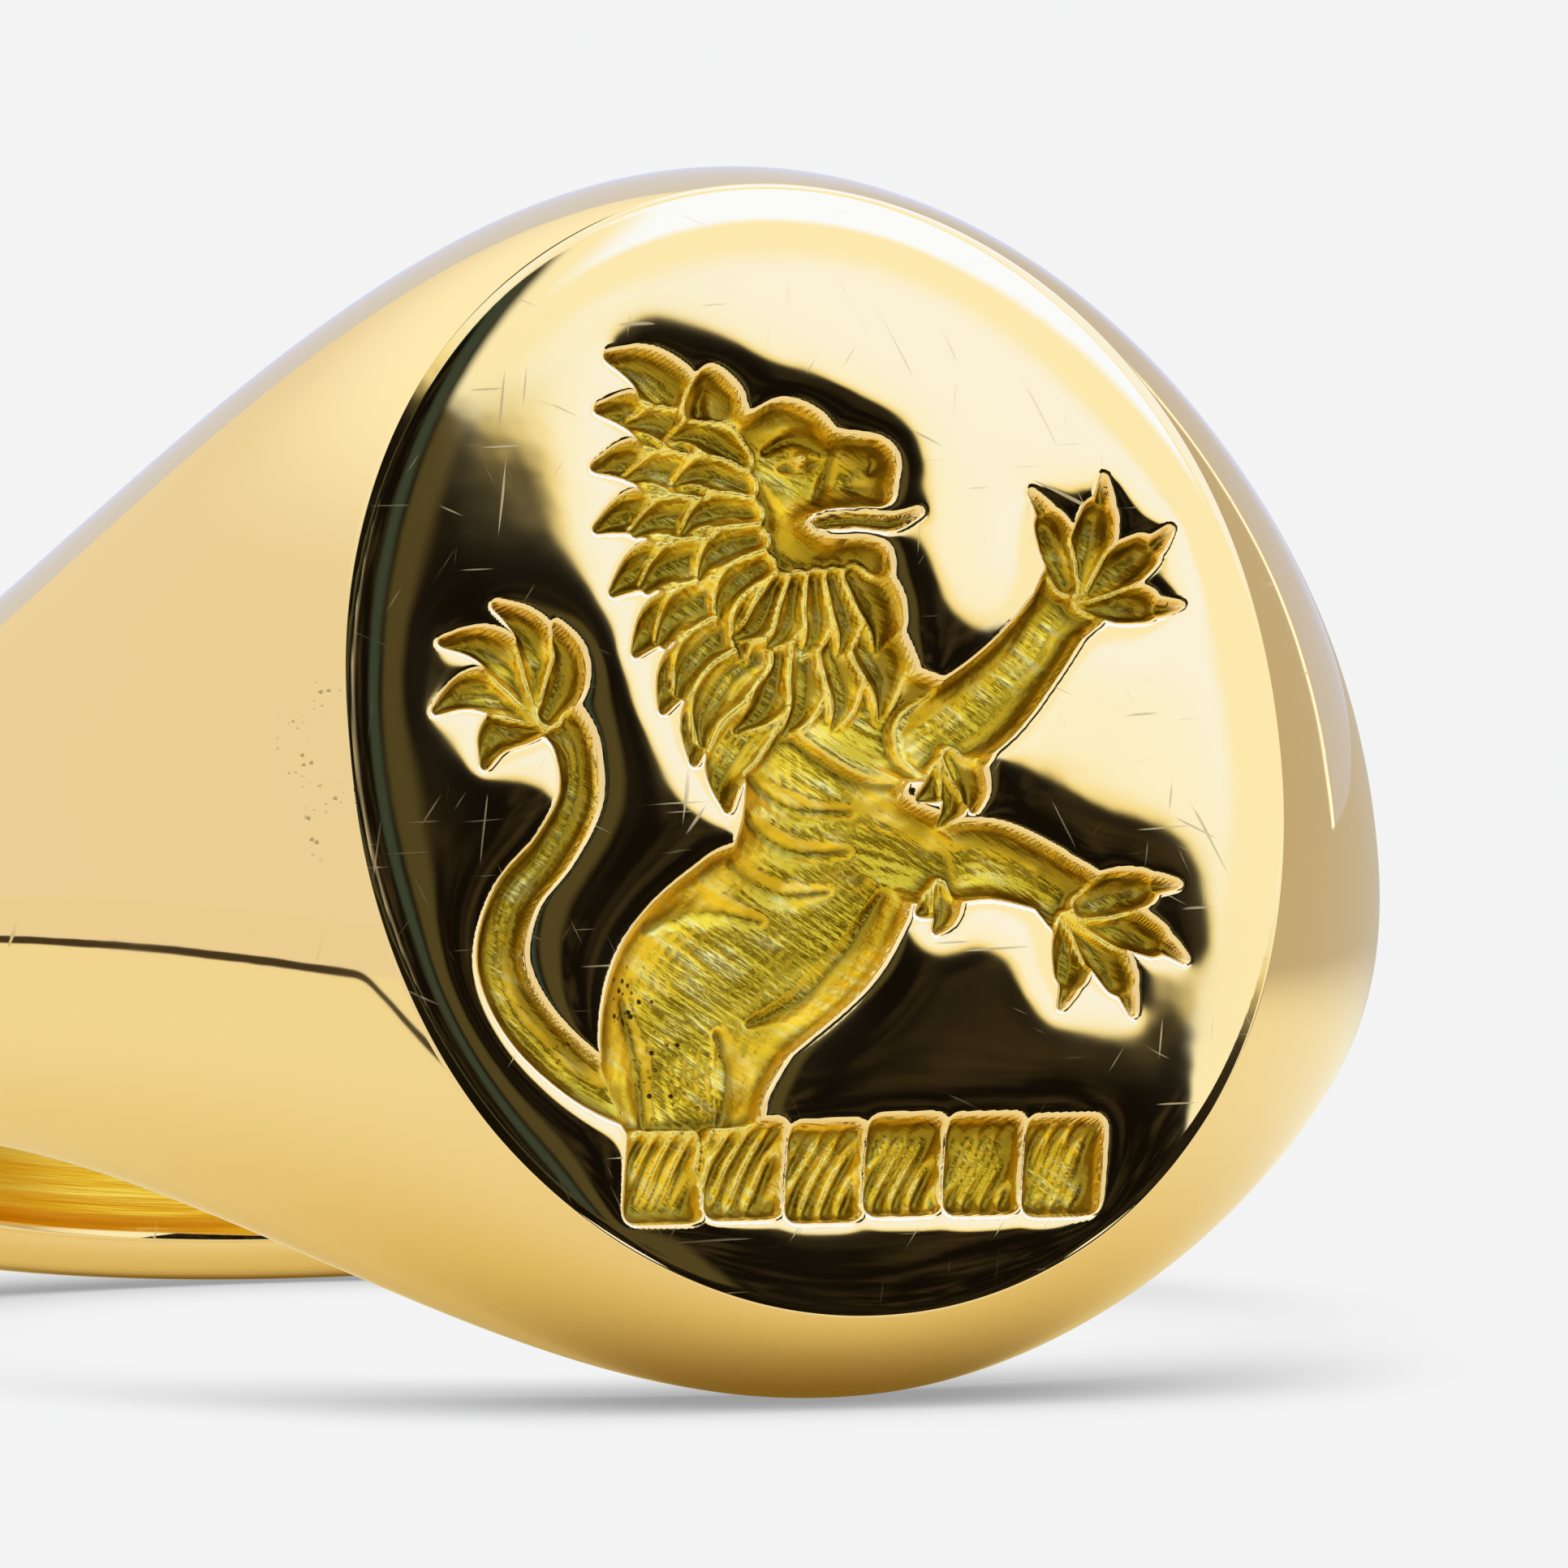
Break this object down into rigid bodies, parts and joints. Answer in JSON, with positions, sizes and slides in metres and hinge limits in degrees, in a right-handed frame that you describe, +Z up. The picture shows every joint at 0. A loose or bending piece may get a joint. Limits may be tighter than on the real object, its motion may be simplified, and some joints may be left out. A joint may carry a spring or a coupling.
{
  "type": "signet ring",
  "caption": "Oval signet ring with a flat hand-engraved seal face, tapering shoulders and a half-round shank, lying on its side.",
  "frame": {"origin": "middle of the finger hole, on its centre line", "axes": "the ring lies on its side as it rests on a table: +Z up, the seal face looks along -Y and up by the 16 degree resting tilt, +X to the right of someone looking at the face"},
  "size_m": [0.0218, 0.0241, 0.0151],
  "materials": {
    "polished_gold": "18 ct yellow gold, hand polished, with a satin engraving and a brushed hole",
    "gold_solder": "easy gold solder, slightly paler, polished flush"
  },
  "bodies": {
    "root": {"signet_head": "polished_gold", "shank": "polished_gold", "solder_seam_left": "gold_solder", "solder_seam_right": "gold_solder"}
  },
  "joints": []
}
